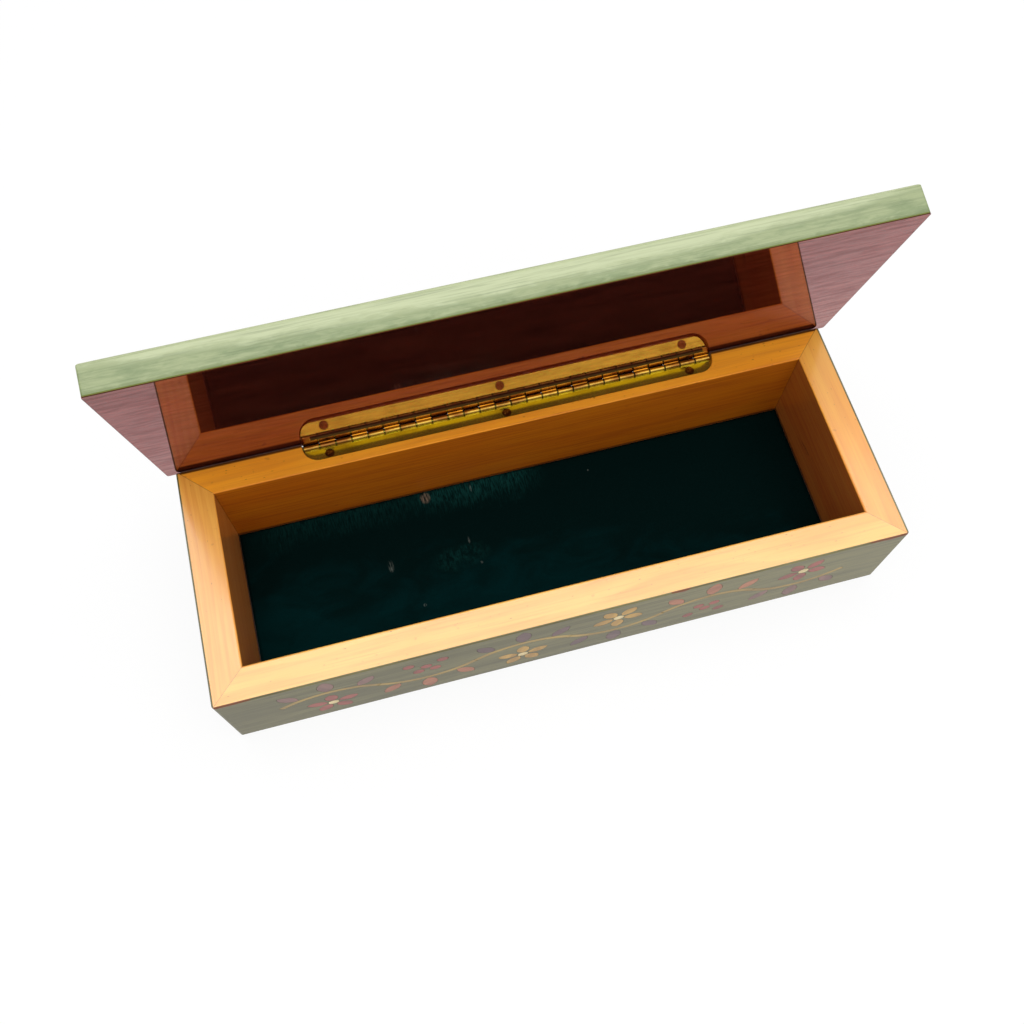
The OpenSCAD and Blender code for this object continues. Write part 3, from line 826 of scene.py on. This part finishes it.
# the velvet lining, a sheet of short pile glued over the card
velvet = {
    "cell": 1.3,        # mm between mesh points
    "rise": 0.16,       # mm of waviness
    "waves": (38, 16),  # mm from wave to wave along x and y
    "puckers": 5,       # mm from pucker to pucker
    "edge": 1.1,        # mm over which the edge turns down
    "thinnest": 0.1,    # mm
    "deep": rgb(5, 22, 21),
    "green": rgb(4, 35, 36),
    "shade": rgb(0, 10, 11),
    # painted sheen colour where the pile is combed or ruffled
    "brushed": rgb(20, 66, 62),
    "worn": rgb(150, 120, 100),
    "lint": rgb(190, 200, 190),
    # the pile is combed upright from this y over this many mm, and fades at both ends
    "combed": {"from": 20, "over": 14.0, "left": (-118, -96), "full": (-48, -36), "right": (-2, 14)},
    # x, y and half sizes of the ruffled patch, of the bald spot and of the bits of lint
    "ruffled": (-31, 1.5, 14, 6),
    "bald": (-39.5, 31.0, 2.4, 3.0),
    "specks": ((-20.1, 31.4, 0.5, 3.0), (-59.7, 4.8, 1.4, 3.2), (-26.3, 8.2, 0.5, 2.0),
               (-23.5, -2.7, 0.8, 0.8), (30.0, 26.3, 0.5, 0.5), (-50.0, -14.8, 0.9, 0.9)),
}


def velvetHeight(x, y, low, high):
    wideX, wideY = velvet["waves"]
    small = velvet["puckers"]
    wave = noise.fractal(Vector((x / wideX, y / wideY, 3.7)), 1.0, 2.0, 3) * velvet["rise"]
    pucker = noise.noise(Vector((x / small, y / small, 9.1))) * velvet["rise"] * 0.35
    inset = min(x - low.x, high.x - x, y - low.y, high.y - y)
    turn = max(0.0, 1 - inset / velvet["edge"])
    fall = velvet["edge"] * 0.55 * (1 - math.sqrt(max(0.0, 1 - turn * turn)))
    return min(0.0, -velvet["rise"] * 0.9 + wave + pucker) - fall


def oval(x, y, spot):
    # 0 in the middle of a spot and 1 on its edge
    middleX, middleY, wide, long = spot
    return ((x - middleX) / wide) ** 2 + ((y - middleY) / long) ** 2


def velvetCloth():
    look = PieceLook("velvetTeal")
    x, y, z = look.parts(look.pos)
    pile = look.noise(look.stretch(look.pos, (0.35, 0.35, 0.35)), 2, 0.7)
    nap = look.noise(look.stretch(look.pos, (22, 12, 12), (2.2, 0, 0)), 4, 0.6, 0.6)
    comb = look.noise(look.stretch(look.pos, (0.5, 4.5, 3), (7.7, 0, 0)), 3, 0.75, 0.3)
    rub = look.noise(look.stretch(look.pos, (2.4, 3.2, 3), (1.7, 4, 0)), 4, 0.75)
    # painted sheen: greener towards the front and the left, where the pile lies the other way
    lie = (-12 - y) / 40 - x / 300 + (nap - 0.5) * 2.0 + 0.4
    colour = look.mix(lie.step(0.0, 1.0), velvet["deep"], velvet["green"])
    # painted sheen, lighter where the pile is combed upright along the back wall, most to the left of the
    # middle, and on a ruffled patch
    combed = velvet["combed"]
    reach = (y - combed["from"] + (nap - 0.5) * 16 + (comb - 0.5) * 14).step(0.0, combed["over"])
    along = (0.45 + x.step(*combed["full"]) * 0.55) * x.step(*combed["left"]) * (1 - x.step(*combed["right"]))
    band = reach * along * comb.step(0.36, 0.62)
    patch = 1 - (oval(x, y, velvet["ruffled"]) + (nap - 0.5) * 2.4).step(0.0, 1.1)
    brushed = band * 0.8 + patch * (rub * 0.6 + comb * 0.4).step(0.42, 0.62) * 0.4
    colour = look.mix(brushed.least(1.0), colour, velvet["brushed"])
    bald = 1 - oval(x, y, velvet["bald"]).step(0.1, 1.1)
    colour = look.mix(bald * comb.step(0.4, 0.6) * 0.6, colour, velvet["worn"])
    for speck in velvet["specks"]:
        lint = 1 - oval(x, y, speck).step(0.1, 1.0)
        colour = look.mix(lint * comb.step(0.42, 0.58) * 0.16, colour, velvet["lint"])
    colour = look.mix((1 - pile) * 0.4, colour, velvet["shade"])
    return look.finish(Base_Color=colour, Roughness=0.95, Specular_IOR_Level=0.0,
                       Normal=look.bump(pile + nap * 2.0, 0.12, 0.6))


def makeVelvet():
    low, high = boxOf("velvet_lining")
    countX = round((high.x - low.x) / velvet["cell"])
    countY = round((high.y - low.y) / velvet["cell"])
    form = bmesh.new()
    top, under = [], []
    for j in range(countY + 1):
        for i in range(countX + 1):
            x = low.x + (high.x - low.x) * i / countX
            y = low.y + (high.y - low.y) * j / countY
            z = max(high.z + velvetHeight(x, y, low, high), low.z + velvet["thinnest"])
            top.append(form.verts.new((x * mm, y * mm, z * mm)))
            under.append(form.verts.new((x * mm, y * mm, low.z * mm)))
    row = countX + 1
    for j in range(countY):
        for i in range(countX):
            k = j * row + i
            form.faces.new((top[k], top[k + 1], top[k + row + 1], top[k + row]))
            form.faces.new((under[k + row], under[k + row + 1], under[k + 1], under[k]))
    # the narrow sides, front, back, left and right
    rim = [(i, i + 1) for i in range(countX)]
    rim += [(countY * row + i + 1, countY * row + i) for i in range(countX)]
    rim += [((j + 1) * row, j * row) for j in range(countY)]
    rim += [(j * row + countX, (j + 1) * row + countX) for j in range(countY)]
    for a, b in rim:
        form.faces.new((top[b], top[a], under[a], under[b]))
    data = bpy.data.meshes.new("velvetLining")
    form.to_mesh(data)
    form.free()
    piece = addPiece("velvetLining", data, velvetCloth(), "box")
    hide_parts("velvet_lining")


makeVelvet()
print("velvet laid")
